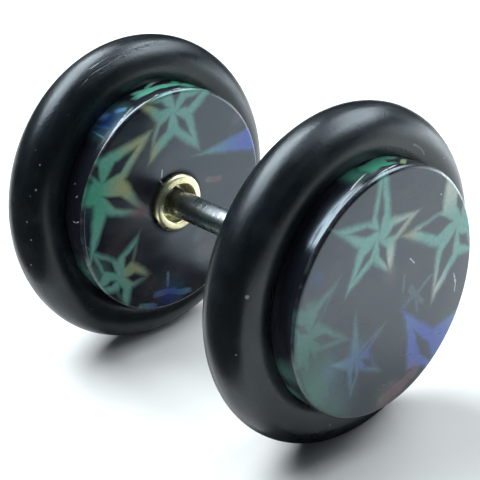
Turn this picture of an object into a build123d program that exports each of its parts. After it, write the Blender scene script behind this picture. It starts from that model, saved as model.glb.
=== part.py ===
from build123d import *
import os
from math import cos, radians, sin

# A fake plug earring, in millimetres. Its axis lies along X with the front
# towards +X, and it rests on its two O-rings on the plane Z = 0. The origin
# is on that plane, midway between the outer faces of the two discs.

# Discs
disc_radius = 5.0
disc_thickness = 4.4
disc_edge_round = 0.18
lobe_gap = 7.7

# O-rings: round cord, pressed flat where it grips each disc's side wall
cord_diameter = 2.5
ring_stand_out = 1.8
ring_clearance = 0.02
front_ring_shift = 0.08
front_ring_lean = 1.0
back_ring_shift = 0.02
back_ring_lean = 4.2

# Post: a smooth 16 gauge bar with a thread at its free end
post_diameter = 1.2
spigot_diameter = 0.84
spigot_length = 2.2
spigot_chamfer = 0.1
thread_pitch = 0.25
thread_turns = 8
thread_root_diameter = 0.88
thread_crest_below_bar = 0.01
thread_end_margin = 0.2
thread_run_out = 0.35
ridge_foot_width = 0.21
ridge_foot_depth = 0.03
ridge_crest_width = 0.03

# Socket: a brass insert in the back disc, its lip proud of the disc
socket_diameter = 2.56
socket_stand_out = 0.3
socket_lip_round = 0.16
socket_mouth_diameter = 1.72
socket_mouth_depth = 0.55
socket_mouth_round = 0.1
socket_floor = 0.3
socket_foot_chamfer = 0.12

# Clearances between pieces that fit
post_entry = 0.14
thread_clearance = 0.04
tip_clearance = 0.15
seat_clearance = 0.02

# Sizes that follow from those above
cord_radius = cord_diameter / 2
cord_centre_radius = disc_radius + ring_stand_out - cord_radius
axis_height = disc_radius + ring_stand_out
half_gap = lobe_gap / 2
disc_middle_x = half_gap + disc_thickness / 2
bar_radius = post_diameter / 2
crest_radius = bar_radius - thread_crest_below_bar
root_radius = thread_root_diameter / 2
thread_length = thread_turns * thread_pitch
lip_x = -half_gap + socket_stand_out
bar_end_x = lip_x - post_entry
post_tip_x = bar_end_x - thread_run_out - thread_length - thread_end_margin
bore_end_x = post_tip_x - tip_clearance
socket_end_x = bore_end_x - socket_floor
pocket_end_x = socket_end_x - seat_clearance


def across(x):
    """The plane square to the earring's axis at the given X, with local x along Y."""
    return Plane(origin=(x, 0, axis_height), x_dir=(0, 1, 0), z_dir=(1, 0, 0))


# The upright plane through the axis: its x runs along the axis, its y up
along = Plane(origin=(0, 0, axis_height), x_dir=(1, 0, 0), z_dir=(0, -1, 0))
plug_axis = Axis((0, 0, axis_height), (1, 0, 0))


def ring_plane(x, lean):
    """The plane of a ring about the axis at the given X, leaned so that its top goes towards -X."""
    normal = (cos(radians(lean)), 0, sin(radians(lean)))
    return Plane(origin=(x, 0, axis_height), x_dir=(0, 1, 0), z_dir=normal)


def section_of(plane):
    """The plane through a ring's own axis that holds the section of its cord at the top, with local x up."""
    return Plane(origin=plane.origin, x_dir=plane.y_dir, z_dir=plane.x_dir)


# Front disc, with a blind hole for the post's spigot
with BuildPart() as front_disc:
    with BuildSketch(across(half_gap)):
        Circle(disc_radius)
    extrude(amount=disc_thickness)
    fillet(front_disc.edges().filter_by(GeomType.CIRCLE), radius=disc_edge_round)
    with BuildSketch(across(half_gap)):
        Circle(spigot_diameter / 2 + seat_clearance)
    extrude(amount=spigot_length + seat_clearance, mode=Mode.SUBTRACT)

# Back disc, with a blind pocket for the socket
with BuildPart() as back_disc:
    with BuildSketch(across(-half_gap - disc_thickness)):
        Circle(disc_radius)
    extrude(amount=disc_thickness)
    fillet(back_disc.edges().filter_by(GeomType.CIRCLE), radius=disc_edge_round)
    with BuildSketch(across(-half_gap)):
        Circle(socket_diameter / 2 + seat_clearance)
    extrude(amount=pocket_end_x + half_gap, mode=Mode.SUBTRACT)

# Front O-ring, its hole cut to the disc. A ring that leans is stretched, so that its
# lowest point still comes down to Z = 0
front_ring_plane = ring_plane(disc_middle_x - front_ring_shift, front_ring_lean)
with BuildPart() as front_o_ring:
    with BuildSketch(section_of(front_ring_plane)):
        with Locations((cord_centre_radius / cos(radians(front_ring_lean)), 0)):
            Circle(cord_radius)
    revolve(axis=Axis(front_ring_plane.origin, front_ring_plane.z_dir))
    with BuildSketch(across(half_gap)):
        Circle(disc_radius + ring_clearance)
    extrude(amount=disc_thickness, mode=Mode.SUBTRACT)

# Back O-ring, pushed further askew
back_ring_plane = ring_plane(-disc_middle_x - back_ring_shift, back_ring_lean)
with BuildPart() as back_o_ring:
    with BuildSketch(section_of(back_ring_plane)):
        with Locations((cord_centre_radius / cos(radians(back_ring_lean)), 0)):
            Circle(cord_radius)
    revolve(axis=Axis(back_ring_plane.origin, back_ring_plane.z_dir))
    with BuildSketch(across(-half_gap - disc_thickness)):
        Circle(disc_radius + ring_clearance)
    extrude(amount=disc_thickness, mode=Mode.SUBTRACT)

# Post: spigot, smooth bar and a core with a helical ridge for the thread
with BuildPart() as post:
    with BuildSketch(along):
        with BuildLine():
            Polyline(
                (half_gap + spigot_length, 0),
                (half_gap + spigot_length, spigot_diameter / 2 - spigot_chamfer),
                (half_gap + spigot_length - spigot_chamfer, spigot_diameter / 2),
                (half_gap, spigot_diameter / 2),
                (half_gap, bar_radius),
                (bar_end_x, bar_radius),
                (bar_end_x - (bar_radius - root_radius), root_radius),
                (post_tip_x + spigot_chamfer, root_radius),
                (post_tip_x, root_radius - spigot_chamfer),
                (post_tip_x, 0),
                close=True,
            )
        make_face()
    revolve(axis=plug_axis)
    thread_start = Vector(post_tip_x + thread_end_margin, 0, axis_height)
    with BuildLine():
        ridge_path = Helix(thread_pitch, thread_length, root_radius, center=thread_start, direction=(1, 0, 0))
    outwards = (ridge_path @ 0) - thread_start
    with BuildSketch(Plane(origin=ridge_path @ 0, x_dir=outwards, z_dir=ridge_path % 0)):
        with BuildLine():
            Polyline(
                (-ridge_foot_depth, -ridge_foot_width / 2),
                (crest_radius - root_radius, -ridge_crest_width / 2),
                (crest_radius - root_radius, ridge_crest_width / 2),
                (-ridge_foot_depth, ridge_foot_width / 2),
                close=True,
            )
        make_face()
    sweep(path=ridge_path, is_frenet=True)

# Socket: a blind sleeve with a rounded lip and a stepped mouth
with BuildPart() as back_socket:
    with BuildSketch(across(socket_end_x)):
        Circle(socket_diameter / 2)
    extrude(amount=lip_x - socket_end_x)
    fillet(back_socket.edges().group_by(Axis.X)[-1], radius=socket_lip_round)
    chamfer(back_socket.edges().group_by(Axis.X)[0], length=socket_foot_chamfer)
    with BuildSketch(across(bore_end_x)):
        Circle(bar_radius + thread_clearance)
    extrude(amount=lip_x - bore_end_x, mode=Mode.SUBTRACT)
    with BuildSketch(across(lip_x - socket_mouth_depth)):
        Circle(socket_mouth_diameter / 2)
    extrude(amount=socket_mouth_depth, mode=Mode.SUBTRACT)
    fillet(back_socket.edges().group_by(Axis.X)[-1].sort_by(SortBy.RADIUS)[0], radius=socket_mouth_round)

os.makedirs("parts", exist_ok=True)
front_disc.part.label = "front_disc"
front_o_ring.part.label = "front_o_ring"
post.part.label = "post"
back_disc.part.label = "back_disc"
back_o_ring.part.label = "back_o_ring"
back_socket.part.label = "back_socket"
export_step(front_disc.part, "parts/front_disc.step")
export_step(front_o_ring.part, "parts/front_o_ring.step")
export_step(post.part, "parts/post.step")
export_step(back_disc.part, "parts/back_disc.step")
export_step(back_o_ring.part, "parts/back_o_ring.step")
export_step(back_socket.part, "parts/back_socket.step")
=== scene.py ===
"""The looks of a fake plug earring.

Two printed acrylic discs in rubber O-rings are joined by a steel post and a brass socket.
Sizes are in millimetres, as in the solids, and turn into metres where a mesh is made.
Every piece is modelled about the earring's own axis, so Object coordinates count from that axis.
"""

from math import atan2, ceil, cos, hypot, pi, radians, sin

import bmesh
import bpy
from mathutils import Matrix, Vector


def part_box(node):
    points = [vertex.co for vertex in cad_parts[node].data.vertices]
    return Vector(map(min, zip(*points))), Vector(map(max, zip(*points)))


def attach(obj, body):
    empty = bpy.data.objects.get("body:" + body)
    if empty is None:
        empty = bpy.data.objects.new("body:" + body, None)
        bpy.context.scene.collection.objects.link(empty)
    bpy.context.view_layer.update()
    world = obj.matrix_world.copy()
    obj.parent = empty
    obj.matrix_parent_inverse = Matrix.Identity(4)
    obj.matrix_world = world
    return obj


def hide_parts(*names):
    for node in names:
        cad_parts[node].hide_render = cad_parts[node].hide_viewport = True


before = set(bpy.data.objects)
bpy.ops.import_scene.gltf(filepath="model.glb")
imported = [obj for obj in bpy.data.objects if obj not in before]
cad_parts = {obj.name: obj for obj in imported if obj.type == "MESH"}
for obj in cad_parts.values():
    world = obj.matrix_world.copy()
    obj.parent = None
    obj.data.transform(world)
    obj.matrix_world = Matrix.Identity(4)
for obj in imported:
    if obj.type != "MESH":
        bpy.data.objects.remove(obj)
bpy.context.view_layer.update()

MM = 0.001

# Sizes that the pieces share with the solids they stand for
DISC_RADIUS = 5.0
DISC_EDGE_ROUND = 0.18
CORD_RADIUS = 1.25
RING_STAND_OUT = 1.8
RING_CLEARANCE = 0.02
RING_LEAN = {"front": 1.0, "back": 4.2}
RING_SHIFT = {"front": -0.08, "back": -0.02}
POST_RADIUS = 0.6
SPIGOT_RADIUS = 0.42
SPIGOT_LENGTH = 2.2
TIP_CHAMFER = 0.1
THREAD_PITCH = 0.25
THREAD_LENGTH = 2.0
THREAD_ROOT_RADIUS = 0.44
THREAD_CREST_RADIUS = 0.59
THREAD_END_MARGIN = 0.2
THREAD_RUN_OUT = 0.35
SOCKET_RADIUS = 1.28
SOCKET_LIP_ROUND = 0.16
SOCKET_MOUTH_RADIUS = 0.86
SOCKET_MOUTH_DEPTH = 0.55
SOCKET_MOUTH_ROUND = 0.1
SOCKET_FOOT_CHAMFER = 0.12
SOCKET_FLOOR = 0.3
BORE_CREST_RADIUS = 0.605
BORE_ROOT_RADIUS = 0.655
SEAT_CLEARANCE = 0.02

# Places, from the frame
front_low, front_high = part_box("front_disc")
back_low, back_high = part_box("back_disc")
post_low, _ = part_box("post")
socket_low, socket_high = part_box("back_socket")
AXIS_HEIGHT = DISC_RADIUS + RING_STAND_OUT
FRONT_INNER_X, FRONT_OUTER_X = front_low.x / MM, front_high.x / MM
BACK_OUTER_X, BACK_INNER_X = back_low.x / MM, back_high.x / MM
POST_TIP_X = post_low.x / MM
SOCKET_END_X, LIP_X = socket_low.x / MM, socket_high.x / MM

# The camera, fitted to the photograph's outlines
CAMERA_AZIMUTH = -43.255
CAMERA_ELEVATION = 24.313
CAMERA_DISTANCE = 52.548
CAMERA_LENS = 95.257
CAMERA_SHIFT = (0.00803, -0.02469)
CAMERA_SENSOR = 36.0
CAMERA_CLIP = (0.002, 5.0)


# Meshes

SHARP_ANGLE = radians(40)
FACE_ROWS = 4
GRIP_HALVINGS = 30


def piece(name, points, faces, materials, slots=None):
    """A smooth mesh piece from points in millimetres about the earring's axis."""
    mesh = bpy.data.meshes.new(name)
    mesh.from_pydata([Vector(p) * MM for p in points], [], faces)
    for material in materials:
        mesh.materials.append(material)
    if slots:
        mesh.polygons.foreach_set("material_index", slots)
    made = bmesh.new()
    made.from_mesh(mesh)
    bmesh.ops.recalc_face_normals(made, faces=made.faces)
    made.to_mesh(mesh)
    made.free()
    mesh.shade_smooth()
    mesh.set_sharp_from_angle(angle=SHARP_ANGLE)
    thing = bpy.data.objects.new(name, mesh)
    thing.location.z = AXIS_HEIGHT * MM
    bpy.context.scene.collection.objects.link(thing)
    weighted = thing.modifiers.new("even_shading", "WEIGHTED_NORMAL")
    weighted.keep_sharp = True
    return thing


def turned(name, outline, materials, segments=192, ridge=None):
    """A piece turned about the axis. outline is a list of (x, radius, slot), where slot is the
    material of the stretch that starts there. ridge(x, radius, angle) is added to the radius."""
    points, faces, slots, rows = [], [], [], []
    for x, radius, _ in outline:
        if radius == 0:
            rows.append([len(points)] * segments)
            points.append((x, 0, 0))
            continue
        rows.append(list(range(len(points), len(points) + segments)))
        for i in range(segments):
            a = 2 * pi * i / segments
            r = radius + (ridge(x, radius, a) if ridge else 0)
            points.append((x, r * cos(a), r * sin(a)))
    for (_, _, slot), here, there in zip(outline, rows, rows[1:]):
        for i in range(segments):
            j = (i + 1) % segments
            corners = (here[i], here[j], there[j], there[i])
            faces.append(tuple(dict.fromkeys(corners)))
            slots.append(slot)
    return piece(name, points, faces, materials, slots)


def arc(x, radius, size, start, end, slot, steps=8):
    """Outline points on an arc about (x, radius), from start to end in degrees."""
    turns = [radians(start + (end - start) * i / steps) for i in range(steps + 1)]
    return [(x + size * cos(a), radius + size * sin(a), slot) for a in turns]


def level(x, inner, outer, slot, steps):
    """Outline points up a flat face at x, between two radii, without its last point."""
    return [(x, inner + (outer - inner) * i / steps, slot) for i in range(steps)]


# A disc's material slots
FACE, WALL, FAR_FACE, HOLE = 0, 1, 2, 3


def disc_outline(shown_x, far_x, hole_radius, hole_end_x, hole_in_far_face):
    """A disc's outline from the middle of its face at shown_x, round its wall, to its far face."""
    way = 1 if shown_x > far_x else -1
    flat = DISC_RADIUS - DISC_EDGE_ROUND
    near_turn, far_turn = (0, 180) if way > 0 else (180, 0)
    hole = [(hole_end_x, hole_radius, HOLE), (hole_end_x, 0, HOLE)]
    inmost, steps = flat / FACE_ROWS, FACE_ROWS - 1
    start = [(shown_x, 0, FACE), *level(shown_x, inmost, flat, FACE, steps)]
    end = [*reversed(level(far_x, inmost, flat, FAR_FACE, steps)), (far_x, 0, FAR_FACE)]
    if hole_in_far_face:
        end = [*[p for p in end if p[1] > hole_radius], (far_x, hole_radius, HOLE), *hole]
    else:
        opening = [p for p in start if p[1] > hole_radius]
        start = [*reversed(hole), (shown_x, hole_radius, FACE), *opening]
    return [
        *start,
        *arc(shown_x - way * DISC_EDGE_ROUND, flat, DISC_EDGE_ROUND, near_turn, 90, FACE)[:-1],
        (shown_x - way * DISC_EDGE_ROUND, DISC_RADIUS, WALL),
        ((shown_x + far_x) / 2, DISC_RADIUS, WALL),
        *arc(far_x + way * DISC_EDGE_ROUND, flat, DISC_EDGE_ROUND, 90, far_turn, FAR_FACE),
        *end,
    ]


def ring(name, x, lean, materials, steps=320, arc_steps=56, flat_steps=6):
    """An O-ring that leans by its top going towards -X, pressed flat inside by its disc."""
    lean = radians(lean)
    normal = Vector((cos(lean), 0, sin(lean)))
    across = Vector((0, 1, 0))
    upright = normal.cross(across)
    middle = (DISC_RADIUS + RING_STAND_OUT - CORD_RADIUS) / cos(lean)
    grip = DISC_RADIUS + RING_CLEARANCE

    def on_cord(out, turn):
        return (
            Vector((x, 0, 0))
            + out * (middle + CORD_RADIUS * cos(turn))
            + normal * (CORD_RADIUS * sin(turn))
        )

    def junction(out, side):
        """The turn at which the cord on one side meets the disc, found by halving."""
        low, high = 0.0, pi
        for _ in range(GRIP_HALVINGS):
            half = (low + high) / 2
            p = on_cord(out, side * half)
            if hypot(p.y, p.z) > grip:
                low = half
            else:
                high = half
        return side * low

    points, faces = [], []
    around = arc_steps + flat_steps
    for i in range(steps):
        a = 2 * pi * i / steps
        out = across * cos(a) + upright * sin(a)
        first, last = junction(out, -1), junction(out, 1)
        turns = [first + (last - first) * k / arc_steps for k in range(arc_steps + 1)]
        section = [on_cord(out, turn) for turn in turns]
        for k in range(1, flat_steps):
            q = on_cord(out, last).lerp(on_cord(out, first), k / flat_steps)
            scale = grip / hypot(q.y, q.z)
            section.append(Vector((q.x, q.y * scale, q.z * scale)))
        points.extend(section)
    for i in range(steps):
        for k in range(around):
            here, there = i * around, (i + 1) % steps * around
            ahead = (k + 1) % around
            faces.append((here + k, here + ahead, there + ahead, there + k))
    return piece(name, points, faces, materials)


# Shader nodes

# Where a speck of dust ends and where it is full, counted in cells from its middle
DUST_EDGE = (0.06, 0.02)


class Nodes:
    """The nodes of one material, made one after another. Values are numbers or outputs."""

    def __init__(self, name):
        self.material = bpy.data.materials.new(name)
        self.material.use_nodes = True
        self.tree = self.material.node_tree
        self.shader = self.tree.nodes["Principled BSDF"]

    def add(self, kind, values=(), output=0, **settings):
        made = self.tree.nodes.new(kind)
        for key, value in settings.items():
            setattr(made, key, value)
        pairs = values.items() if isinstance(values, dict) else enumerate(values)
        for key, value in pairs:
            self.put(made.inputs[key], value)
        return made.outputs[output]

    def put(self, socket, value):
        if isinstance(value, bpy.types.NodeSocket):
            self.tree.links.new(value, socket)
        else:
            socket.default_value = value

    def math(self, operation, *values):
        return self.add("ShaderNodeMath", values, operation=operation)

    def vector(self, operation, *values):
        output = "Value" if operation in ("DOT_PRODUCT", "DISTANCE", "LENGTH") else "Vector"
        return self.add("ShaderNodeVectorMath", values, output, operation=operation)

    def ramp(self, value, start, end, low=0.0, high=1.0):
        """Goes smoothly from low, where value is start, to high, where it is end."""
        places = {"Value": value, "From Min": start, "From Max": end, "To Min": low, "To Max": high}
        return self.add("ShaderNodeMapRange", places, interpolation_type="SMOOTHSTEP")

    def mix(self, factor, a, b):
        """Colour a where factor is 0 and b where it is 1."""
        made = self.tree.nodes.new("ShaderNodeMix")
        made.data_type = "RGBA"
        for socket, value in ((made.inputs[0], factor), (made.inputs[6], a), (made.inputs[7], b)):
            self.put(socket, value)
        return made.outputs[2]

    def parts(self, vector):
        """The three numbers of a vector."""
        made = self.tree.nodes.new("ShaderNodeSeparateXYZ")
        self.put(made.inputs[0], vector)
        return made.outputs[0], made.outputs[1], made.outputs[2]

    def noise(self, place, scale, detail, output="Fac"):
        values = {"Vector": place, "Scale": scale, "Detail": detail}
        return self.add("ShaderNodeTexNoise", values, output)

    def stretched_noise(self, place, stretch, scale, detail):
        return self.noise(self.vector("MULTIPLY", place, stretch), scale, detail)

    def patches(self, place, scale, detail, *limits):
        """Noise that goes through a ramp with the given limits."""
        return self.ramp(self.noise(place, scale, detail), *limits)

    def dust(self, place, scale, where):
        """1 on tiny scattered specks, scale of them to the millimetre, inside patches."""
        cells = self.add("ShaderNodeTexVoronoi", {"Vector": place, "Scale": scale}, "Distance")
        return self.math("MULTIPLY", self.ramp(cells, *DUST_EDGE), self.patches(place, *where))

    def way_round(self, across, up):
        """How far a point lies round a disc's wall from its top, towards -Y."""
        angle = self.math("ARCTAN2", self.math("MULTIPLY", across, -1.0), up)
        return self.math("MULTIPLY", angle, DISC_RADIUS)

    def place(self):
        """The point in millimetres, counted from the earring's axis."""
        values = {"Vector": self.add("ShaderNodeTexCoord", (), "Object"), "Scale": 1 / MM}
        return self.add("ShaderNodeVectorMath", values, operation="SCALE")

    def bump(self, height, distance, strength):
        values = {"Strength": strength, "Distance": distance * MM, "Height": height}
        self.put(self.shader.inputs["Normal"], self.add("ShaderNodeBump", values))

    def set(self, **values):
        for key, value in values.items():
            self.put(self.shader.inputs[key.replace("_", " ")], value)


def colour(r, g, b):
    return (r, g, b, 1.0)


# The print, charted in millimetres. On a face a place is (across towards +Y, up from the
# axis). On a side wall it is (way round from the top towards -Y, along X). A charted star is its
# middle, its outline as tip, waist, tip, waist, and the slots in its arms. A slot or a stroke is
# (start, end, width), and a slot is widest nearer its start. A haze of thin ink is (middle, size,
# strength), a patch of colour (middle, size, shade) and an even star (middle, size, turn).

# How far the edges of stars and slots fade, in millimetres, and those of strokes, lint,
# painted highlights and scuffs, as a part of their width
PRINT_SOFTNESS = 0.17
SLOT_SOFTNESS = 0.12
STROKE_SOFTNESS = 0.5
LINT_AND_HIGHLIGHT_SOFTNESS = 0.4
SCUFF_SOFTNESS = 0.8

# Where a slot is widest, from 0 at its start to 1 at its end
SLOT_WIDEST = 0.4

# How far a charted arm reaches past the star's middle
ARM_OVERLAP = 0.2

# An even star, as parts of its size: its waists' distance and the sliver in each arm
HALF_ARM = radians(36)
EVEN_WAIST = 0.56 * cos(HALF_ARM)
SLIVER_START, SLIVER_END, SLIVER_WIDTH = 0.1, 0.8, 0.2

FRONT_STARS = [
    (
        (-0.6, 2.6),
        [
            (-0.58, 6.4),
            (-0.14, 3.15),
            (1.4, 2.95),
            (0.22, 2.15),
            (0.08, 0.8),
            (-1.0, 1.65),
            (-2.35, 0.85),
            (-1.78, 2.45),
            (-3.1, 3.55),
            (-1.12, 3.3),
        ],
        [
            ((-0.72, 2.75), (-0.65, 4.6), 0.4),
            ((-0.85, 2.84), (-2.35, 3.2), 0.4),
            ((-0.95, 2.4), (-1.95, 1.35), 0.36),
            ((-0.7, 2.4), (-0.1, 1.15), 0.46),
            ((-0.35, 2.42), (0.95, 2.86), 0.42),
        ],
    ),
    (
        (3.6, 1.6),
        [
            (3.15, 4.6),
            (4.3, 2.6),
            (5.9, 2.8),
            (4.7, 1.3),
            (5.3, 0.2),
            (4.1, 0.3),
            (2.65, -1.2),
            (2.75, 1.05),
            (0.65, 2.2),
            (2.95, 2.5),
        ],
        [
            ((3.6, 1.9), (1.45, 2.14), 0.84),
            ((4.12, 2.0), (3.8, 3.4), 0.46),
            ((3.85, 1.5), (2.76, -0.7), 0.7),
            ((4.05, 1.25), (4.9, 0.4), 0.46),
        ],
    ),
]
FRONT_GREEN_STARS = [
    (
        (-4.2, -0.1),
        [
            (-2.85, 1.55),
            (-3.75, 0.3),
            (-2.2, -1.05),
            (-3.85, -0.95),
            (-3.5, -3.2),
            (-4.55, -1.2),
            (-5.4, -1.7),
            (-4.9, 0.0),
            (-5.4, 1.2),
            (-4.1, 0.95),
        ],
        [
            ((-4.0, -0.35), (-2.7, -0.85), 0.46),
            ((-4.2, -0.7), (-3.75, -2.5), 0.44),
            ((-4.05, 0.2), (-3.2, 1.2), 0.3),
            ((-4.35, 0.05), (-5.0, 0.6), 0.3),
        ],
    ),
]
FRONT_SKY_STARS = [
    (
        (-1.7, -2.05),
        [
            (-1.82, -0.35),
            (-1.5, -1.7),
            (-0.25, -1.25),
            (-1.0, -1.98),
            (-0.35, -3.1),
            (-1.5, -2.6),
            (-1.95, -3.6),
            (-2.15, -2.4),
            (-3.15, -1.8),
            (-2.02, -1.8),
        ],
        [
            ((-1.4, -2.2), (-0.55, -2.85), 0.36),
            ((-1.75, -2.35), (-1.92, -3.2), 0.2),
            ((-1.45, -1.95), (-0.6, -1.45), 0.16),
        ],
    ),
]
FRONT_BLUE_STARS = [
    (
        (2.1, -2.8),
        [
            (0.95, -1.05),
            (2.87, -2.5),
            (5.4, -2.0),
            (4.4, -3.5),
            (3.4, -5.0),
            (2.3, -3.95),
            (1.36, -3.75),
            (1.28, -2.6),
        ],
        [((2.95, -4.05), (1.65, -2.15), 0.6), ((1.2, -2.9), (1.08, -1.6), 0.3)],
    ),
]
FRONT_FAINT_STROKES = [
    ((0.86, 0.6), (0.8, -0.3), 0.14),
    ((0.7, -1.0), (1.6, -0.45), 0.24),
    ((1.35, -0.25), (2.1, -1.1), 0.24),
    ((1.5, -0.65), (2.6, 0.05), 0.16),
    ((1.65, -0.4), (1.75, -1.4), 0.2),
    ((1.2, -0.1), (1.6, -0.6), 0.3),
]
FRONT_RED_STROKES = [((-0.3, -4.6), (1.3, -4.25), 0.55), ((0.9, -4.4), (2.1, -3.85), 0.45)]
FRONT_STAR_INKS = [
    (FRONT_STARS, 0.92),
    (FRONT_GREEN_STARS, 0.42),
    (FRONT_SKY_STARS, 0.5),
    (FRONT_BLUE_STARS, 0.85),
]
FRONT_STROKE_INKS = [(FRONT_FAINT_STROKES, 0.22), (FRONT_RED_STROKES, 0.5)]
FRONT_HAZES = [
    ((-4.0, -2.6), 2.4, 0.42),
    ((-2.9, -3.6), 1.7, 0.22),
    ((-4.4, -0.2), 1.4, 0.18),
    ((-4.2, 0.75), 0.7, 0.5),
    ((-1.6, -1.9), 1.1, 0.2),
    ((0.0, 0.85), 0.6, 0.3),
    ((-3.9, 2.0), 0.5, 0.2),
    ((3.2, -3.2), 1.2, 0.35),
    ((0.3, -4.5), 1.0, 0.4),
]
FRONT_SHADES = [
    ((-4.4, -1.4), 3.4, "GREEN"),
    ((1.0, 2.8), 1.4, "PALE"),
    ((0.1, 1.5), 0.9, "PALE"),
    ((0.9, 2.2), 0.9, "BEIGE"),
    ((3.2, 3.4), 1.6, "PALE"),
    ((-1.7, -2.1), 2.1, "SKY"),
    ((-3.0, -1.9), 0.9, "CYAN"),
    ((-0.7, -2.2), 1.2, "BLUE"),
    ((2.6, -2.8), 3.6, "BLUE"),
    ((2.2, -2.6), 2.4, "BLUE"),
    ((0.95, -1.1), 0.9, "BLUE"),
    ((2.75, -0.6), 1.3, "PALE"),
    ((0.6, -4.8), 2.2, "ROSE"),
    ((1.6, -4.3), 0.9, "ROSE"),
    ((0.0, 0.7), 0.8, "PINK"),
    ((-3.9, 2.0), 0.8, "BLUE"),
]
BACK_STARS = [
    (
        (0.1, 4.1),
        [
            (2.25, 4.65),
            (1.05, 3.75),
            (1.4, 2.1),
            (0.0, 3.05),
            (-1.4, 2.2),
            (-0.92, 3.85),
            (-1.75, 4.7),
            (-0.7, 5.0),
            (0.3, 6.2),
            (1.1, 4.95),
        ],
        [
            ((0.32, 4.15), (1.55, 4.6), 0.44),
            ((0.12, 3.95), (0.95, 2.8), 0.44),
            ((-0.22, 3.95), (-1.1, 2.85), 0.5),
            ((-0.25, 4.35), (-1.3, 4.72), 0.34),
            ((0.1, 4.4), (0.26, 5.6), 0.4),
        ],
    ),
    (
        (-4.0, 1.75),
        [
            (-1.2, 3.55),
            (-2.72, 1.78),
            (-1.45, -0.3),
            (-3.75, 0.5),
            (-4.7, -1.5),
            (-4.4, 1.05),
            (-6.2, 1.5),
            (-4.35, 2.1),
            (-5.2, 3.9),
            (-3.95, 3.05),
        ],
        [
            ((-3.75, 1.98), (-2.0, 3.08), 0.62),
            ((-3.85, 1.3), (-2.0, 0.2), 0.6),
            ((-4.0, 2.05), (-4.6, 3.4), 0.5),
        ],
    ),
    ((4.9, 1.75), [(1.5, 1.82), (4.2, 2.25), (5.6, 4.2), (6.5, 1.7), (5.6, -0.2), (4.6, 1.25)], []),
]
BACK_DIM_STARS = [
    (
        (-3.15, -2.4),
        [
            (-2.08, -0.88),
            (-2.42, -2.1),
            (-1.4, -3.0),
            (-2.55, -3.25),
            (-2.82, -4.15),
            (-3.4, -3.15),
            (-4.7, -3.2),
            (-4.1, -2.15),
            (-4.7, -0.8),
            (-3.3, -1.75),
        ],
        [
            ((-2.9, -2.25), (-2.28, -1.35), 0.48),
            ((-2.82, -2.72), (-1.8, -3.02), 0.44),
            ((-3.4, -2.3), (-4.3, -1.3), 0.52),
            ((-3.4, -2.72), (-4.1, -2.75), 0.26),
            ((-3.2, -2.95), (-3.12, -3.65), 0.28),
        ],
    ),
]
BACK_STROKES = [
    ((-1.3, -4.1), (0.0, -4.25), 0.3),
    ((-0.4, -4.3), (0.8, -4.6), 0.3),
    ((-2.2, -4.35), (-1.2, -4.7), 0.3),
    ((-0.5, -3.2), (-0.56, -4.0), 0.14),
    ((1.75, 0.5), (2.75, 0.38), 0.3),
]
BACK_STAR_INKS = [(BACK_STARS, 1.0), (BACK_DIM_STARS, 0.75)]
BACK_STROKE_INKS = [(BACK_STROKES, 0.45)]
BACK_HAZES = [
    ((-0.3, -4.4), 1.2, 0.2),
    ((3.7, 2.95), 0.6, 0.4),
    ((1.8, -2.8), 1.0, 0.4),
    ((1.3, -2.1), 0.6, 0.35),
    ((-4.6, 1.6), 1.3, 0.18),
    ((-4.4, -2.2), 1.2, 0.25),
]
BACK_SHADES = [
    ((-4.7, 1.4), 2.6, "GREEN"),
    ((-1.6, 4.7), 1.0, "BEIGE"),
    ((-1.4, 2.4), 0.9, "BEIGE"),
    ((-1.9, 3.2), 1.6, "BEIGE"),
    ((-2.8, 1.4), 1.3, "BEIGE"),
    ((-1.9, 0.0), 1.4, "RED"),
    ((-2.3, -2.4), 1.1, "BEIGE"),
    ((-1.3, -3.0), 0.9, "RED"),
    ((-0.6, -4.6), 1.9, "BLUE"),
    ((4.4, 1.6), 3.6, "BLUE"),
    ((2.3, 0.45), 1.2, "ROSE"),
    ((3.7, 3.1), 1.1, "PINK"),
    ((1.7, -2.6), 2.0, "PINK"),
]
FRONT_WALL_STROKES = [
    ((-1.3, 7.0), (0.8, 7.6), 0.6),
    ((-0.6, 7.7), (0.9, 7.3), 0.46),
    ((-1.5, 7.5), (-0.7, 7.95), 0.22),
]
FRONT_WALL_SLOTS = [((-0.35, 7.6), (-0.9, 7.4), 0.34)]
FRONT_WALL_STROKE_INK = 0.8
FRONT_WALL_HAZES = [((1.2, 7.25), 0.75, 0.6), ((9.6, 7.6), 0.9, 0.3), ((10.9, 7.3), 0.8, 0.35)]
FRONT_WALL_SHADES = [
    ((0.3, 7.3), 3.0, "GREEN"),
    ((-1.1, 7.8), 0.7, "BEIGE"),
    ((10.5, 7.4), 2.6, "TEAL"),
]
FRONT_WALL_STARS = [((-5.6, 6.4), 1.9, 30), ((-10.2, 6.4), 1.7, 55), ((14.2, 6.0), 1.6, 15)]
BACK_WALL_STROKES = [
    ((-4.1, -6.3), (-1.1, -4.35), 0.6),
    ((-2.8, -6.3), (-0.8, -4.85), 0.34),
    ((-1.3, -4.7), (1.35, -4.68), 0.4),
    ((-0.7, -5.55), (0.55, -5.0), 0.22),
    ((0.2, -4.75), (1.25, -5.05), 0.26),
    ((2.1, -4.4), (2.5, -4.9), 0.28),
    ((2.65, -4.85), (3.05, -5.4), 0.3),
    ((3.25, -4.3), (3.35, -5.2), 0.16),
    ((3.75, -4.3), (3.6, -5.1), 0.1),
]
BACK_WALL_HAZES = [((2.9, -4.8), 1.35, 0.75), ((-2.2, -5.2), 1.6, 0.3), ((10.0, -4.2), 1.2, 0.3)]
BACK_WALL_SHADES = [
    ((-1.6, -5.0), 4.5, "GREEN"),
    ((-0.2, -5.3), 0.6, "PALE"),
    ((3.0, -4.8), 1.7, "NAVY"),
    ((2.3, -4.65), 0.35, "SKY"),
    ((2.85, -5.15), 0.4, "SKY"),
    ((-12.0, -5.8), 3.0, "BLUE"),
    ((14.0, -6.4), 2.4, "BEIGE"),
]
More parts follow.
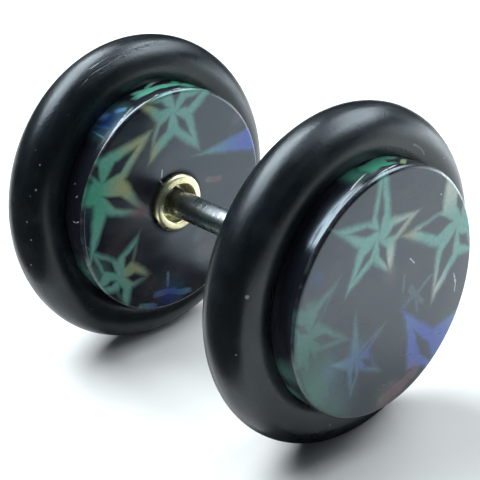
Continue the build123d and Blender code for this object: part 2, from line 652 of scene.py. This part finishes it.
BACK_WALL_STARS = [((-7.6, -6.2), 1.8, 10), ((-12.0, -5.8), 1.8, 35), ((14.0, -6.4), 1.7, 70)]

# The faces that the photograph hides carry even stars
FRONT_FAR_STARS = [
    ((1.9, 2.7), 2.2, 20),
    ((-2.9, 1.8), 1.9, 55),
    ((-1.2, -3.0), 2.1, 5),
    ((3.4, -1.4), 1.8, 40),
]
FRONT_FAR_SHADES = [
    ((-3.6, 2.6), 2.6, "BEIGE"),
    ((-4.2, 0.6), 1.6, "RED"),
    ((-1.4, -3.6), 3.0, "BLUE"),
    ((3.8, -2.0), 2.4, "GREEN"),
]
BACK_FAR_STARS = [
    ((-1.4, 2.3), 2.4, 10),
    ((3.1, 2.6), 2.0, 48),
    ((2.2, -2.4), 2.3, 25),
    ((-2.9, -2.2), 2.0, 62),
]
BACK_FAR_SHADES = [
    ((-2.6, 3.0), 2.6, "GREEN"),
    ((3.8, 2.6), 2.2, "BEIGE"),
    ((4.4, 1.4), 1.4, "RED"),
    ((2.4, -3.0), 3.2, "BLUE"),
]

# Painted highlights, as bright lines along rims and walls, and lint, drawn over the print as
# strokes
# The first three strokes are a painted highlight along the front face's upper right rim; the rest
# are lint
FRONT_RIM_HIGHLIGHT_AND_LINT = [
    ((2.75, 4.1), (3.6, 3.38), 0.1),
    ((3.5, 3.48), (4.25, 2.5), 0.1),
    ((4.18, 2.6), (4.65, 1.7), 0.08),
    ((1.12, 1.14), (1.42, 0.84), 0.06),
    ((3.9, -0.4), (4.1, -0.9), 0.1),
    ((4.1, -0.75), (4.06, -1.3), 0.05),
    ((2.73, 3.28), (2.79, 3.22), 0.06),
]
BACK_LINT = [
    ((-0.68, 1.68), (-0.74, 1.32), 0.07),
    ((-0.85, 1.24), (-0.68, 1.0), 0.05),
    ((-0.7, 1.02), (-0.55, 0.9), 0.05),
]
# A painted highlight: a broken bright streak along the front wall next to its face
FRONT_WALL_PAINTED_HIGHLIGHT = [((-0.4, 7.95), (0.95, 8.12), 0.07), ((0.95, 7.66), (2.0, 7.84), 0.06)]
# The first three strokes are a painted highlight, a broken bright streak along the back wall next
# to its face; the rest are lint
BACK_WALL_HIGHLIGHT_AND_LINT = [
    ((-0.6, -4.08), (0.5, -3.93), 0.07),
    ((0.65, -4.08), (1.4, -3.88), 0.06),
    ((2.0, -4.22), (4.1, -3.9), 0.1),
    ((7.38, -4.1), (7.5, -4.3), 0.04),
    ((7.5, -4.3), (7.48, -4.5), 0.04),
    ((5.9, -4.68), (5.98, -4.76), 0.04),
    ((6.35, -4.38), (6.45, -4.46), 0.04),
]

SHADES = {
    "TEAL": (0.14, 0.36, 0.29),
    "GREEN": (0.06, 0.29, 0.18),
    "PALE": (0.46, 0.52, 0.44),
    "BEIGE": (0.32, 0.34, 0.17),
    "RED": (0.13, 0.03, 0.03),
    "PINK": (0.17, 0.09, 0.10),
    "ROSE": (0.26, 0.09, 0.09),
    "BLUE": (0.05, 0.085, 0.46),
    "SKY": (0.10, 0.22, 0.42),
    "CYAN": (0.16, 0.42, 0.50),
    "NAVY": (0.01, 0.03, 0.14),
}
BLACK = colour(0.009, 0.010, 0.015)
MOTTLE = colour(0.024, 0.018, 0.021)
LINT_AND_HIGHLIGHT = colour(0.55, 0.57, 0.58)


def joined(n, operation, parts):
    """The parts put together by an operation, one after another."""
    total = None
    for part in parts:
        total = part if total is None else n.math(operation, total, part)
    return total


def edge(n, spot, start, end, inside, out=0.0):
    """How far the spot is outside the line from start to end, moved out from the point inside."""
    across = Vector((end[1] - start[1], start[0] - end[0])).normalized()
    offset = across.dot(Vector(start))
    if across.dot(Vector(inside)) > offset:
        across, offset = -across, -offset
    return n.vector("DOT_PRODUCT", spot, (across.x, across.y, -offset - out))


def placed(n, spot, start, end, width, way=0.5):
    """The spot counted from a place some way along a shape, in halves of its length and width."""
    start, end = Vector(start), Vector(end)
    zero, along = start.lerp(end, way), end - start
    places = {
        "Vector": spot,
        "Location": (zero.x, zero.y, 0.0),
        "Rotation": (0.0, 0.0, atan2(along.y, along.x)),
        "Scale": (along.length / 2, width / 2, 1.0),
    }
    return n.add("ShaderNodeMapping", places, vector_type="TEXTURE")


def in_strokes(n, spot, strokes, soft):
    """1 inside any of the round-ended strokes and 0 outside all of them."""

    def reaches():
        for stroke in strokes:
            at = n.vector("MULTIPLY", placed(n, spot, *stroke), (1.0, 1.0, 0.0))
            yield n.vector("LENGTH", n.vector("MULTIPLY", at, at))

    return n.ramp(joined(n, "MINIMUM", reaches()), 1 + soft, 1 - soft)


def off_slots(n, spot, slots):
    """0 inside any of the straight-edged slots and 1 outside all of them."""
    steep = 1 / (4 * SLOT_WIDEST * (1 - SLOT_WIDEST))
    skew = (2 * SLOT_WIDEST - 1) * steep

    def reaches():
        for start, end, width in slots:
            at = placed(n, spot, start, end, width, SLOT_WIDEST)
            size = width / 2
            folded = n.vector("ABSOLUTE", at)
            reach = n.vector("DOT_PRODUCT", folded, (steep * size, size, -size))
            yield n.math("ADD", reach, n.vector("DOT_PRODUCT", at, (skew * size, 0.0, 0.0)))

    return n.ramp(joined(n, "MINIMUM", reaches()), -SLOT_SOFTNESS, SLOT_SOFTNESS)


def charted_star(n, spot, middle, outline, slots):
    """The ink of one star: arms from its middle to its tips, less its slots."""
    tips, waists = outline[::2], outline[1::2]

    def arms():
        for i, tip in enumerate(tips):
            heart = (Vector(middle) + Vector(tip)) / 2
            feet = (waists[i - 1], waists[i])
            sides = [edge(n, spot, foot, tip, heart) for foot in feet]
            sides += [edge(n, spot, foot, middle, heart, ARM_OVERLAP) for foot in feet]
            yield joined(n, "MAXIMUM", sides)

    ink = n.ramp(joined(n, "MINIMUM", arms()), PRINT_SOFTNESS, -PRINT_SOFTNESS)
    return n.math("MULTIPLY", ink, off_slots(n, spot, slots)) if slots else ink


def even_star(n, spot, middle, size, turn):
    """The ink of an even star with a sliver in each arm, one arm folded over all five."""
    away = n.vector("SUBTRACT", spot, (*middle, 0))
    across, up, _ = n.parts(away)
    reach = n.vector("LENGTH", n.add("ShaderNodeCombineXYZ", (across, up, 0.0)))
    angle = n.math("ADD", n.math("ARCTAN2", up, across), radians(360 - turn))
    folded = n.math("PINGPONG", angle, HALF_ARM)
    along = n.math("MULTIPLY", reach, n.math("COSINE", folded))
    aside = n.math("MULTIPLY", reach, n.math("SINE", folded))
    bent = n.add("ShaderNodeCombineXYZ", (along, aside, 1.0))
    waist = (EVEN_WAIST * size * cos(HALF_ARM), EVEN_WAIST * size * sin(HALF_ARM))
    ink = n.ramp(edge(n, bent, waist, (size, 0), (0, 0)), PRINT_SOFTNESS, -PRINT_SOFTNESS)
    sliver = ((SLIVER_START * size, 0), (SLIVER_END * size, 0), SLIVER_WIDTH * size)
    return n.math("MULTIPLY", ink, off_slots(n, bent, [sliver]))


def near(n, spot, middle, size):
    """1 at a place on the print, falling smoothly to 0 at size millimetres from it."""
    return n.ramp(n.vector("DISTANCE", spot, (*middle, 1.0)), size, 0.0)


def shaded(n, spot, shades):
    """The colour of the ink: teal, with patches of other colours."""
    tint = colour(*SHADES["TEAL"])
    for middle, size, name in shades:
        tint = n.mix(near(n, spot, middle, size), tint, colour(*SHADES[name]))
    return tint


def hazes(n, spot, patches):
    """Soft patches of thin ink."""

    def inks():
        for middle, size, strength in patches:
            yield n.math("MULTIPLY", near(n, spot, middle, size), strength)

    return joined(n, "MAXIMUM", inks())


def even_stars(n, spot, stars):
    return joined(n, "MAXIMUM", (even_star(n, spot, *star) for star in stars))


def face_ink(n, spot, patches, star_inks, stroke_inks):
    """The ink of hazes, charted stars and strokes, the last two in groups of one strength each."""
    ink = hazes(n, spot, patches)
    for stars, strength in star_inks:
        drawn = joined(n, "MAXIMUM", (charted_star(n, spot, *star) for star in stars))
        ink = n.math("MAXIMUM", ink, n.math("MULTIPLY", drawn, strength))
    for strokes, strength in stroke_inks:
        drawn = in_strokes(n, spot, strokes, STROKE_SOFTNESS)
        ink = n.math("MAXIMUM", ink, n.math("MULTIPLY", drawn, strength))
    return ink


# A chart gives the ink, from 0 to 1, its colour and the lint and painted highlights over it


def front_chart(n, spot):
    ink = face_ink(n, spot, FRONT_HAZES, FRONT_STAR_INKS, FRONT_STROKE_INKS)
    return ink, shaded(n, spot, FRONT_SHADES), FRONT_RIM_HIGHLIGHT_AND_LINT


def back_chart(n, spot):
    ink = face_ink(n, spot, BACK_HAZES, BACK_STAR_INKS, BACK_STROKE_INKS)
    return ink, shaded(n, spot, BACK_SHADES), BACK_LINT


def front_far_chart(n, spot):
    return even_stars(n, spot, FRONT_FAR_STARS), shaded(n, spot, FRONT_FAR_SHADES), []


def back_far_chart(n, spot):
    return even_stars(n, spot, BACK_FAR_STARS), shaded(n, spot, BACK_FAR_SHADES), []


def front_wall_chart(n, spot):
    ink = even_stars(n, spot, FRONT_WALL_STARS)
    drawn = in_strokes(n, spot, FRONT_WALL_STROKES, STROKE_SOFTNESS)
    drawn = n.math("MULTIPLY", drawn, off_slots(n, spot, FRONT_WALL_SLOTS))
    ink = n.math("MAXIMUM", ink, n.math("MULTIPLY", drawn, FRONT_WALL_STROKE_INK))
    ink = n.math("MAXIMUM", ink, hazes(n, spot, FRONT_WALL_HAZES))
    return ink, shaded(n, spot, FRONT_WALL_SHADES), FRONT_WALL_PAINTED_HIGHLIGHT


def back_wall_chart(n, spot):
    ink = even_stars(n, spot, BACK_WALL_STARS)
    ink = n.math("MAXIMUM", ink, in_strokes(n, spot, BACK_WALL_STROKES, STROKE_SOFTNESS))
    ink = n.math("MAXIMUM", ink, hazes(n, spot, BACK_WALL_HAZES))
    return ink, shaded(n, spot, BACK_WALL_SHADES), BACK_WALL_HIGHLIGHT_AND_LINT


def face_spot(n, place):
    """(across, up, 1) on a face."""
    _, across, up = n.parts(place)
    return n.add("ShaderNodeCombineXYZ", (across, up, 1.0))


def wall_spot(n, place):
    """(way round from the top towards -Y, along X, 1) on a side wall."""
    along, across, up = n.parts(place)
    return n.add("ShaderNodeCombineXYZ", (n.way_round(across, up), along, 1.0))


# The print's wavering, grain, wear and painted rim highlight. Patches are (scale, detail,
# *limits of a ramp), and stretched noise is (stretch along each direction, scale, detail).
WAVER = (1.6, 3.0)
WAVER_WIDTH = (0.2, 0.2, 0.0)
GRAIN = (7.0, 3.0, 0.25, 0.75, 0.82, 1.0)
MOTTLING = (1.1, 6.0, 0.4, 0.68)
PRINT_DUST_SCALE = 2.1
PRINT_DUST_PATCHES = (0.9, 2.0, 0.5, 0.62)
PRINT_DUST_STRENGTH = 0.45
LINT_AND_HIGHLIGHT_BREAKS = (5.0, 3.0, 0.38, 0.5, 0.25, 0.8)
EDGE_INK = 0.45
RIM_START, RIM_END = DISC_RADIUS - 0.1, DISC_RADIUS - 0.01
RIM_WEAR_AND_SHEEN = (2.5, 4.0, 0.4, 0.65, 0.0, 0.06)
SMEARS = ((1.0, 0.35, 1.0), 0.8, 4.0)
SCRATCHES = ((3.0, 9.0, 0.6), 4.0, 2.0)
RUBBING = ((0.5, 3.6, 1.0), 1.3, 3.0)

# The print's gloss, turned down round the socket for a painted shade there
SMEAR_LIMITS = (0.3, 0.75)
FACE_ROUGHNESS = (0.13, 0.3)
WALL_ROUGHNESS = (0.1, 0.2)
RUBBED_GLOSS = (0.36, 0.58, 0.3, 0.9)
SOCKET_PAINTED_SHADE = (SOCKET_RADIUS, SOCKET_RADIUS + 0.3, 0.1, 1.0)
FACE_GLOSS = 1.0
PRINT_TINT = colour(0.64, 0.78, 0.88)
ACRYLIC_IOR = 1.49
SCRATCH_DEPTH, SCRATCH_STRENGTH = 0.004, 0.25


def wavered(n, spot):
    """The spot with the wavering edges of a printed film."""
    wave = n.noise(spot, *WAVER, "Color")
    shift = n.vector("MULTIPLY", n.vector("SUBTRACT", wave, (0.5, 0.5, 0.5)), WAVER_WIDTH)
    return n.vector("ADD", spot, shift)


def printed(name, chart, wall=False, with_socket_shade=False):
    """Black acrylic with a print under a clear gloss, with lint and painted highlights over it, and
    a painted shade round a socket where the gloss is turned down.
    """
    n = Nodes(name)
    place = n.place()
    spot = wall_spot(n, place) if wall else face_spot(n, place)
    ink, tint, lint_and_highlights = chart(n, wavered(n, spot))
    if not wall:
        reach = n.vector("LENGTH", n.vector("MULTIPLY", spot, (1.0, 1.0, 0.0)))
        edge_ink = n.ramp(reach, DISC_RADIUS - DISC_EDGE_ROUND, DISC_RADIUS, 1.0, EDGE_INK)
        ink = n.math("MULTIPLY", ink, edge_ink)
    grain = n.patches(place, *GRAIN)
    ground = BLACK if wall else n.mix(n.patches(place, *MOTTLING), BLACK, MOTTLE)
    base = n.mix(n.math("MULTIPLY", ink, grain), ground, tint)
    specks = n.dust(place, PRINT_DUST_SCALE, PRINT_DUST_PATCHES)
    base = n.mix(n.math("MULTIPLY", specks, PRINT_DUST_STRENGTH), base, LINT_AND_HIGHLIGHT)
    # Lint, and painted highlights drawn as bright broken strokes
    if lint_and_highlights:
        broken = n.patches(place, *LINT_AND_HIGHLIGHT_BREAKS)
        drawn = in_strokes(n, spot, lint_and_highlights, LINT_AND_HIGHLIGHT_SOFTNESS)
        base = n.mix(n.math("MULTIPLY", drawn, broken), base, LINT_AND_HIGHLIGHT)
    # A pale line round the rim of each face: partly edge wear, partly a painted highlight on the
    # rounded edge
    if not wall:
        rim = n.ramp(reach, RIM_START, RIM_END)
        base = n.mix(n.math("MULTIPLY", rim, n.patches(place, *RIM_WEAR_AND_SHEEN)), base, LINT_AND_HIGHLIGHT)
    smears = n.stretched_noise(place, *SMEARS)
    scratches = n.stretched_noise(place, *SCRATCHES)
    roughness = n.ramp(smears, *SMEAR_LIMITS, *(WALL_ROUGHNESS if wall else FACE_ROUGHNESS))
    if wall:
        gloss = n.ramp(n.stretched_noise(spot, *RUBBING), *RUBBED_GLOSS)
    # Painted shade: the face's gloss is turned down round the socket, darkening a ring there
    elif with_socket_shade:
        gloss = n.ramp(reach, *SOCKET_PAINTED_SHADE)
    else:
        gloss = FACE_GLOSS
    n.set(Base_Color=base, Roughness=roughness, IOR=ACRYLIC_IOR)
    n.set(Specular_IOR_Level=gloss, Specular_Tint=PRINT_TINT)
    n.bump(scratches, SCRATCH_DEPTH, SCRATCH_STRENGTH)
    return n.material


# Specks and lint on the O-rings, (x, y, z, size), and the pitted scuff line over the back one,
# as strokes (start, end, width) with places as on a side wall
FRONT_RING_SPECKS = [
    (6.98, -6.05, 1.58, 0.09),
    (7.13, 2.36, 5.02, 0.05),
    (7.13, 2.46, 4.98, 0.06),
    (7.14, 2.57, 4.92, 0.06),
    (7.14, 2.68, 4.84, 0.06),
    (7.14, 2.78, 4.75, 0.06),
    (7.14, 2.88, 4.66, 0.06),
    (7.14, 2.97, 4.56, 0.06),
    (7.14, 3.02, 4.46, 0.05),
    (7.12, 4.28, 3.98, 0.05),
    (7.31, -1.94, -5.27, 0.05),
    (6.83, -6.44, -0.61, 0.04),
]
BACK_RING_SPECKS = [
    (-5.39, -5.82, 2.83, 0.045),
    (-5.3, -6.56, -0.25, 0.045),
    (-5.46, -6.55, -1.45, 0.05),
    (-5.43, -6.6, 0.53, 0.04),
    (-5.29, -6.16, 1.86, 0.055),
]
SCUFF = [((-0.8, -5.74), (2.5, -5.6), 0.2), ((0.3, -5.98), (2.2, -5.9), 0.1)]

# The rubber's wear and gloss, with patches and stretched noise as for the print
RUBBER_BLACK = colour(0.004, 0.006, 0.008)
RUBBER_GRIME = colour(0.011, 0.015, 0.019)
RUBBER_LINT = colour(0.38, 0.4, 0.4)
RUBBER_DRAWN_OUT = 0.25
RUBBER_SMEARS = (2.2, 4.0)
GRIME_PATCHES = (1.1, 5.0, 0.45, 0.8)
RUBBER_DUST_SCALE = 1.6
RUBBER_DUST_PATCHES = (0.7, 2.0, 0.52, 0.6)
RUBBER_DUST_STRENGTH = 0.5
SPECK_HEART = 0.6
PEBBLES = (7.0, 3.0)
SCUFF_DASHES = ((8.0, 7.0, 7.0), 1.0, 2.0)
PIT_LIMITS = (0.52, 0.6)
PIT_DEPTH = 3.0
RUB_LIMITS = (0.46, 0.38)
RUB_STRENGTH = 0.08
RUBBER_ROUGHNESS = (0.3, 0.7, 0.26, 0.38)
RUBBER_TINT = colour(0.86, 0.94, 1.0)
RUBBER_IOR = 1.5
PEBBLE_HEIGHT, PEBBLE_STRENGTH = 0.012, 0.5


def rubber(name, specks, scuff=()):
    """Satin black rubber with a pebbled skin, drawn-out smears, specks and scuffs."""
    n = Nodes(name)
    place = n.place()
    along, across, up = n.parts(place)
    radius = n.vector("LENGTH", n.add("ShaderNodeCombineXYZ", (across, up, 0.0)))
    way = n.way_round(across, up)
    drawn_out = n.math("MULTIPLY", way, RUBBER_DRAWN_OUT)
    drawn_out = n.add("ShaderNodeCombineXYZ", (drawn_out, along, radius))
    smears = n.noise(drawn_out, *RUBBER_SMEARS)
    base = n.mix(n.patches(place, *GRIME_PATCHES), RUBBER_BLACK, RUBBER_GRIME)
    spots = n.dust(place, RUBBER_DUST_SCALE, RUBBER_DUST_PATCHES)
    for x, y, z, size in specks:
        spot = n.ramp(n.vector("DISTANCE", place, (x, y, z)), size, size * SPECK_HEART)
        spots = n.math("MAXIMUM", spots, spot)
    height = n.noise(place, *PEBBLES)
    if scuff:
        spot = n.add("ShaderNodeCombineXYZ", (way, along, 1.0))
        line = in_strokes(n, spot, scuff, SCUFF_SOFTNESS)
        dashes = n.stretched_noise(drawn_out, *SCUFF_DASHES)
        pits = n.math("MULTIPLY", line, n.ramp(dashes, *PIT_LIMITS))
        height = n.math("SUBTRACT", height, n.math("MULTIPLY", pits, PIT_DEPTH))
        rubbed = n.math("MULTIPLY", line, n.ramp(dashes, *RUB_LIMITS))
        spots = n.math("MAXIMUM", spots, n.math("MULTIPLY", rubbed, RUB_STRENGTH))
    base = n.mix(n.math("MULTIPLY", spots, RUBBER_DUST_STRENGTH), base, RUBBER_LINT)
    n.set(Base_Color=base, Roughness=n.ramp(smears, *RUBBER_ROUGHNESS))
    n.set(IOR=RUBBER_IOR, Specular_Tint=RUBBER_TINT)
    n.bump(height, PEBBLE_HEIGHT, PEBBLE_STRENGTH)
    return n.material


# The metals, with the limits of their ramps
STEEL_BRIGHT, STEEL_DULL = colour(0.47, 0.49, 0.49), colour(0.23, 0.24, 0.26)
STEEL_SMEARS = (2.0, 3.0)
STEEL_DULLING = (0.4, 0.6)
STEEL_ROUGHNESS = (0.35, 0.65, 0.24, 0.4)
TURNED_LINES = ((14.0, 0.6, 0.6), 1.0, 3.0)
TURNED_DEPTH, TURNED_STRENGTH = 0.014, 0.7
BRASS_BRIGHT, BRASS_DULL = colour(0.95, 0.89, 0.58), colour(0.66, 0.58, 0.32)
BRASS_SMEARS = (1.7, 4.0)
BRASS_DULLING = (0.45, 0.75)
BRASS_ROUGHNESS = (0.3, 0.7, 0.24, 0.4)
BRASS_GRAIN = (9.0, 2.0)
BRASS_DEPTH, BRASS_STRENGTH = 0.006, 0.5

HOLE_BLACK, HOLE_GREY = colour(0.012, 0.012, 0.014), colour(0.02, 0.02, 0.022)
HOLE_CLOUDS = (3.0, 2.0)
HOLE_ROUGHNESS = 0.35


def steel():
    """Polished steel with fine lines from turning."""
    n = Nodes("polished_steel")
    place = n.place()
    lines = n.stretched_noise(place, *TURNED_LINES)
    smears = n.noise(place, *STEEL_SMEARS)
    base = n.mix(n.ramp(smears, *STEEL_DULLING), STEEL_BRIGHT, STEEL_DULL)
    n.set(Base_Color=base, Metallic=1.0, Roughness=n.ramp(smears, *STEEL_ROUGHNESS))
    n.bump(lines, TURNED_DEPTH, TURNED_STRENGTH)
    return n.material


def brass():
    """Pale polished brass, a little tarnished in patches."""
    n = Nodes("pale_brass")
    place = n.place()
    smears = n.noise(place, *BRASS_SMEARS)
    base = n.mix(n.ramp(smears, *BRASS_DULLING), BRASS_BRIGHT, BRASS_DULL)
    n.set(Base_Color=base, Metallic=1.0, Roughness=n.ramp(smears, *BRASS_ROUGHNESS))
    n.bump(n.noise(place, *BRASS_GRAIN), BRASS_DEPTH, BRASS_STRENGTH)
    return n.material


def bare_acrylic():
    """The black acrylic inside the blind holes."""
    n = Nodes("bare_acrylic")
    base = n.mix(n.noise(n.place(), *HOLE_CLOUDS), HOLE_BLACK, HOLE_GREY)
    n.set(Base_Color=base, Roughness=HOLE_ROUGHNESS)
    return n.material


# Pieces

hole_black = bare_acrylic()
front_disc = turned(
    "front_disc_printed",
    disc_outline(
        FRONT_OUTER_X,
        FRONT_INNER_X,
        SPIGOT_RADIUS + SEAT_CLEARANCE,
        FRONT_INNER_X + SPIGOT_LENGTH + SEAT_CLEARANCE,
        hole_in_far_face=True,
    ),
    [
        printed("front_face_print", front_chart),
        printed("front_wall_print", front_wall_chart, wall=True),
        printed("front_far_face_print", front_far_chart),
        hole_black,
    ],
)
back_disc = turned(
    "back_disc_printed",
    disc_outline(
        BACK_INNER_X,
        BACK_OUTER_X,
        SOCKET_RADIUS + SEAT_CLEARANCE,
        SOCKET_END_X - SEAT_CLEARANCE,
        hole_in_far_face=False,
    ),
    [
        printed("back_face_print", back_chart, with_socket_shade=True),
        printed("back_wall_print", back_wall_chart, wall=True),
        printed("back_far_face_print", back_far_chart),
        hole_black,
    ],
)

front_ring = ring(
    "front_o_ring_rubber",
    (FRONT_INNER_X + FRONT_OUTER_X) / 2 + RING_SHIFT["front"],
    RING_LEAN["front"],
    [rubber("front_rubber", FRONT_RING_SPECKS)],
)
back_ring = ring(
    "back_o_ring_rubber",
    (BACK_INNER_X + BACK_OUTER_X) / 2 + RING_SHIFT["back"],
    RING_LEAN["back"],
    [rubber("back_rubber", BACK_RING_SPECKS, SCUFF)],
)


# Half the widths of the thread's crest and foot, as parts of the pitch
HALF_CREST, HALF_FOOT = 0.06, 0.42


def thread(x, angle, start, end):
    """The height of a V thread, from 0 in its root to 1 on its crest, fading out at both ends."""
    across = abs((x / THREAD_PITCH - angle / (2 * pi)) % 1 - 0.5)
    height = min(max((HALF_FOOT - across) / (HALF_FOOT - HALF_CREST), 0), 1)
    fade = min(max((x - start) / THREAD_PITCH, 0), 1) * min(max((end - x) / THREAD_PITCH, 0), 1)
    return height * fade


def stations(start, end, step):
    """Places from start to end, about a step apart, without the last."""
    count = ceil(abs(end - start) / step)
    return [start + (end - start) * i / count for i in range(count)]


STEPS_PER_TURN = 20
THREAD_STEP = THREAD_PITCH / STEPS_PER_TURN
BAR_STEP = 0.4
THREAD_START_X = POST_TIP_X + THREAD_END_MARGIN
THREAD_END_X = THREAD_START_X + THREAD_LENGTH
BAR_END_X = THREAD_END_X + THREAD_RUN_OUT
BAR_TAPER = POST_RADIUS - THREAD_ROOT_RADIUS
SPIGOT_END_X = FRONT_INNER_X + SPIGOT_LENGTH


def post_ridge(x, radius, angle):
    if radius != THREAD_ROOT_RADIUS:
        return 0
    height = thread(x, angle, THREAD_START_X - THREAD_PITCH / 2, THREAD_END_X + THREAD_PITCH / 2)
    return height * (THREAD_CREST_RADIUS - THREAD_ROOT_RADIUS)


bar_places = stations(FRONT_INNER_X, BAR_END_X, BAR_STEP)[1:]
thread_places = stations(BAR_END_X - BAR_TAPER, POST_TIP_X + TIP_CHAMFER, THREAD_STEP)
post = turned(
    "post_steel",
    [
        (SPIGOT_END_X, 0, 0),
        (SPIGOT_END_X, SPIGOT_RADIUS - TIP_CHAMFER, 0),
        (SPIGOT_END_X - TIP_CHAMFER, SPIGOT_RADIUS, 0),
        (FRONT_INNER_X, SPIGOT_RADIUS, 0),
        (FRONT_INNER_X, POST_RADIUS, 0),
        *[(x, POST_RADIUS, 0) for x in bar_places],
        (BAR_END_X, POST_RADIUS, 0),
        *[(x, THREAD_ROOT_RADIUS, 0) for x in thread_places],
        (POST_TIP_X + TIP_CHAMFER, THREAD_ROOT_RADIUS, 0),
        (POST_TIP_X, THREAD_ROOT_RADIUS - TIP_CHAMFER, 0),
        (POST_TIP_X, 0, 0),
    ],
    [steel()],
    segments=64,
    ridge=post_ridge,
)

BORE_END_X = SOCKET_END_X + SOCKET_FLOOR
STEP_X = LIP_X - SOCKET_MOUTH_DEPTH
WALL_ROW_DEPTH = 0.1


def bore_ridge(x, radius, angle):
    if radius != BORE_ROOT_RADIUS:
        return 0
    height = thread(x, angle, BORE_END_X, STEP_X + THREAD_PITCH / 2)
    return height * (BORE_CREST_RADIUS - BORE_ROOT_RADIUS)


def socket_round(radius, size, start, end):
    """Outline points round an edge of the socket's lip, about a middle at radius."""
    return arc(LIP_X - size, radius, size, start, end, 0)


socket = turned(
    "back_socket_brass",
    [
        (SOCKET_END_X, 0, 0),
        (SOCKET_END_X, SOCKET_RADIUS - SOCKET_FOOT_CHAMFER, 0),
        (SOCKET_END_X + SOCKET_FOOT_CHAMFER, SOCKET_RADIUS, 0),
        (BACK_INNER_X - WALL_ROW_DEPTH, SOCKET_RADIUS, 0),
        *socket_round(SOCKET_RADIUS - SOCKET_LIP_ROUND, SOCKET_LIP_ROUND, 90, 0),
        *socket_round(SOCKET_MOUTH_RADIUS + SOCKET_MOUTH_ROUND, SOCKET_MOUTH_ROUND, 0, -90),
        (STEP_X, SOCKET_MOUTH_RADIUS, 0),
        *[(x, BORE_ROOT_RADIUS, 0) for x in stations(STEP_X, BORE_END_X, THREAD_STEP)],
        (BORE_END_X, BORE_ROOT_RADIUS, 0),
        (BORE_END_X, 0, 0),
    ],
    [brass()],
    segments=96,
    ridge=bore_ridge,
)

for thing, node, body, slot in (
    (front_disc, "front_disc", "front", "printed_acrylic"),
    (front_ring, "front_o_ring", "front", "black_rubber"),
    (post, "post", "front", "steel_bar"),
    (back_disc, "back_disc", "back", "printed_acrylic"),
    (back_ring, "back_o_ring", "back", "black_rubber"),
    (socket, "back_socket", "back", "brass_insert"),
):
    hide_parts(node)
    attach(thing, body)

# Studio

FLOOR_CORNERS = [(-450, -450), (450, -450), (450, 450), (-450, 450)]
FLOOR_COLOUR = colour(0.86, 0.82, 0.79)
FLOOR_ROUGHNESS = 0.7

# Black cards on the floor, which only reflections show: painted shade for the floor on the
# camera's side and for the floor between the discs, where it stands in shade
SHADE_CARDS = {
    "camera_side_shade_card": [
        (-300, -60),
        (-14, -9.5),
        (11, -9.5),
        (120, -60),
        (300, -400),
        (-300, -400),
    ],
    "middle_shade_card": [(-3.6, -4.5), (7.8, -4.5), (8.0, 9.0), (3.8, 6.0), (-3.6, 5.2)],
}
CARD_HEIGHT = 0.05
SHADE_CARD_COLOUR = colour(0.02, 0.02, 0.022)
CARD_ROUGHNESS = 0.8

WORLD_COLOUR = colour(0.6, 0.8, 1.0)
WORLD_STRENGTH = 0.04

# Soft lights: (name, azimuth, elevation, distance, width, height, radiance)
COOL = (0.86, 0.95, 1.0)
LIGHTS = [
    ("key_light", -162, 57, 180, 190, 100, 11.4),
    ("rim_light", 78, 49, 200, 162, 106, 7.4),
    ("top_light", 130, 82, 170, 100, 80, 1.2),
    ("side_light", 72, 4, 200, 150, 80, 1.8),
    ("low_light", 72, 2, 70, 46, 16, 2.8),
]


def matt(name, base, roughness):
    n = Nodes(name)
    n.set(Base_Color=base, Roughness=roughness)
    return n.material


def flat_sheet(name, corners, height, material):
    """A flat sheet at a height over the floor, with corners (x, y)."""
    mesh = bpy.data.meshes.new(name)
    points = [(x * MM, y * MM, height * MM) for x, y in corners]
    mesh.from_pydata(points, [], [tuple(range(len(corners)))])
    mesh.materials.append(material)
    thing = bpy.data.objects.new(name, mesh)
    bpy.context.scene.collection.objects.link(thing)
    return thing


floor_pale = matt("pale_floor", FLOOR_COLOUR, FLOOR_ROUGHNESS)
floor = flat_sheet("floor", FLOOR_CORNERS, 0, floor_pale)

# Black for the cards' painted shade in reflections
shade_card_black = matt("shade_card_black", SHADE_CARD_COLOUR, CARD_ROUGHNESS)
for name, corners in SHADE_CARDS.items():
    card = flat_sheet(name, corners, CARD_HEIGHT, shade_card_black)
    card.visible_camera = card.visible_diffuse = False
    card.visible_shadow = card.visible_transmission = False

middle_point = Vector((0, 0, AXIS_HEIGHT)) * MM


def towards(azimuth, elevation):
    """The direction at an azimuth from +X towards +Y and an elevation above the floor."""
    a, e = radians(azimuth), radians(elevation)
    return Vector((cos(e) * cos(a), cos(e) * sin(a), sin(e)))


def face_earring(thing, azimuth, elevation, distance):
    """Puts a light or camera in a direction from the earring's middle and turns it to face it."""
    way = towards(azimuth, elevation)
    thing.location = middle_point + way * distance * MM
    thing.rotation_euler = way.to_track_quat("Z", "Y").to_euler()
    bpy.context.scene.collection.objects.link(thing)


for name, azimuth, elevation, distance, width, height, radiance in LIGHTS:
    lamp = bpy.data.lights.new(name, "AREA")
    lamp.shape = "RECTANGLE"
    lamp.size, lamp.size_y = width * MM, height * MM
    lamp.energy = radiance * pi * width * height * MM * MM
    lamp.color = COOL
    light = bpy.data.objects.new(name, lamp)
    light.visible_camera = False
    face_earring(light, azimuth, elevation, distance)

world = bpy.data.worlds.new("studio")
world.use_nodes = True
background = world.node_tree.nodes["Background"]
background.inputs["Color"].default_value = WORLD_COLOUR
background.inputs["Strength"].default_value = WORLD_STRENGTH
bpy.context.scene.world = world
bpy.context.scene.view_settings.view_transform = "Standard"

lens = bpy.data.cameras.new("camera")
lens.sensor_width = CAMERA_SENSOR
lens.lens = CAMERA_LENS
lens.shift_x, lens.shift_y = CAMERA_SHIFT
lens.clip_start, lens.clip_end = CAMERA_CLIP
camera = bpy.data.objects.new("camera", lens)
face_earring(camera, CAMERA_AZIMUTH, CAMERA_ELEVATION, CAMERA_DISTANCE)
bpy.context.scene.camera = camera
